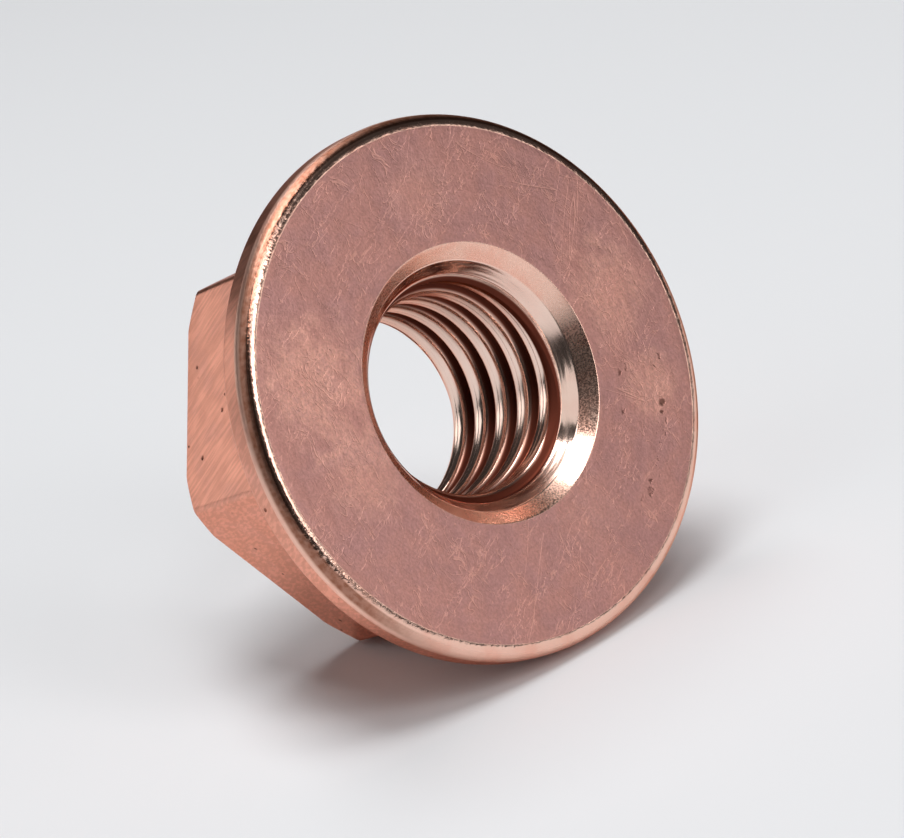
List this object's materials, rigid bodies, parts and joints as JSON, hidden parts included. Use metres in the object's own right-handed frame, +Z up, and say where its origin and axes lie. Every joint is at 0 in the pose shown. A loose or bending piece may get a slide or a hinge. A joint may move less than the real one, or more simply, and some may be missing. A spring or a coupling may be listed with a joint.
{
  "type": "exhaust flange nut",
  "caption": "Copper-plated hexagon nut with a broad round flange and a countersunk threaded bore, for an exhaust stud; it lies on its flange and hexagon.",
  "frame": {"origin": "on the floor under the middle of the lying nut", "axes": "+Z up, +Y across the flange's diameter, and the thread's axis in the XZ plane, rising 20.6 degrees from the hexagon's end towards the bearing face on the +X side"},
  "size_m": [0.0126, 0.0178, 0.017],
  "materials": {
    "copper_plate": "copper-plated steel, satin on the hexagon, dull on the bearing face and bright on the rim, the countersink and the thread"
  },
  "bodies": {
    "root": {"flange_nut": "copper_plate"}
  },
  "joints": []
}
